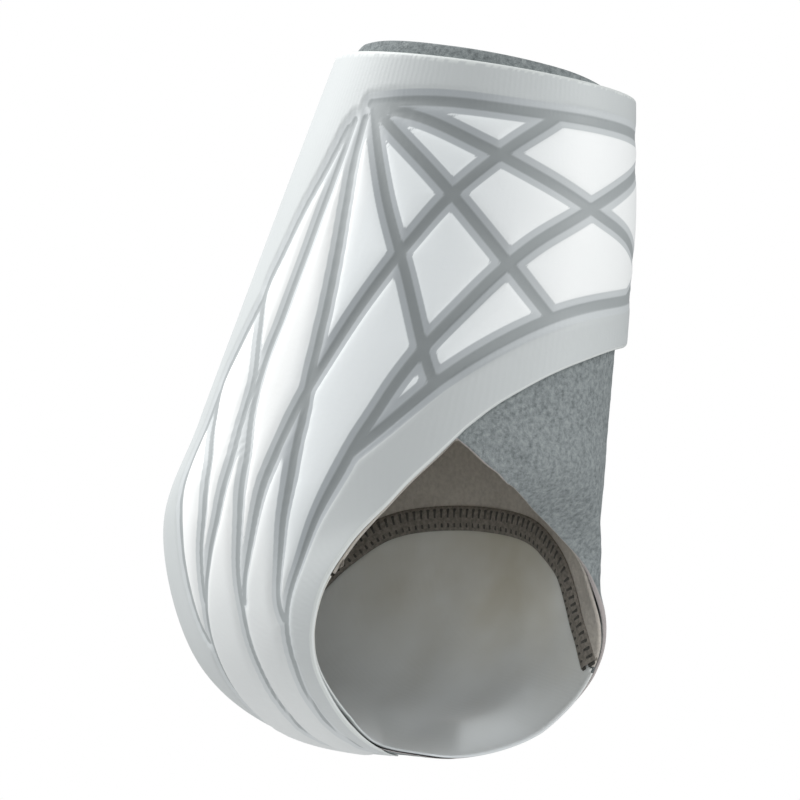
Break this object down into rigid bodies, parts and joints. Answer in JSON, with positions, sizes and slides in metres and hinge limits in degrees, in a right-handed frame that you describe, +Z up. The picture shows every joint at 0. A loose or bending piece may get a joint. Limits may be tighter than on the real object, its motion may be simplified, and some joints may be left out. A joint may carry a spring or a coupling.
{
  "type": "ankle brace",
  "caption": "Slip-on ankle brace in its worn shape: padded outer shell with a pressed lattice, felt sleeve under it, soft linings, and openings for the leg and the forefoot.",
  "frame": {"origin": "centre of the ankle that the brace is worn on, on the axis of the leg", "axes": "+X to the toes, +Y to the wearer's left, +Z up the leg"},
  "size_m": [0.1315, 0.0904, 0.1779],
  "materials": {
    "shell_laminate": "smooth white laminate over thin foam, softly matt",
    "felt": "grey loop felt, matt and fuzzy",
    "ankle_lining_cloth": "dark warm grey brushed knit",
    "heel_lining_cloth": "smooth grey stretch cloth",
    "seam_thread": "dark grey overlock stitching"
  },
  "bodies": {
    "root": {"outer_shell": "shell_laminate", "felt_sleeve": "felt", "ankle_lining": "ankle_lining_cloth", "heel_lining": "heel_lining_cloth", "lining_seam": "seam_thread"}
  },
  "joints": []
}
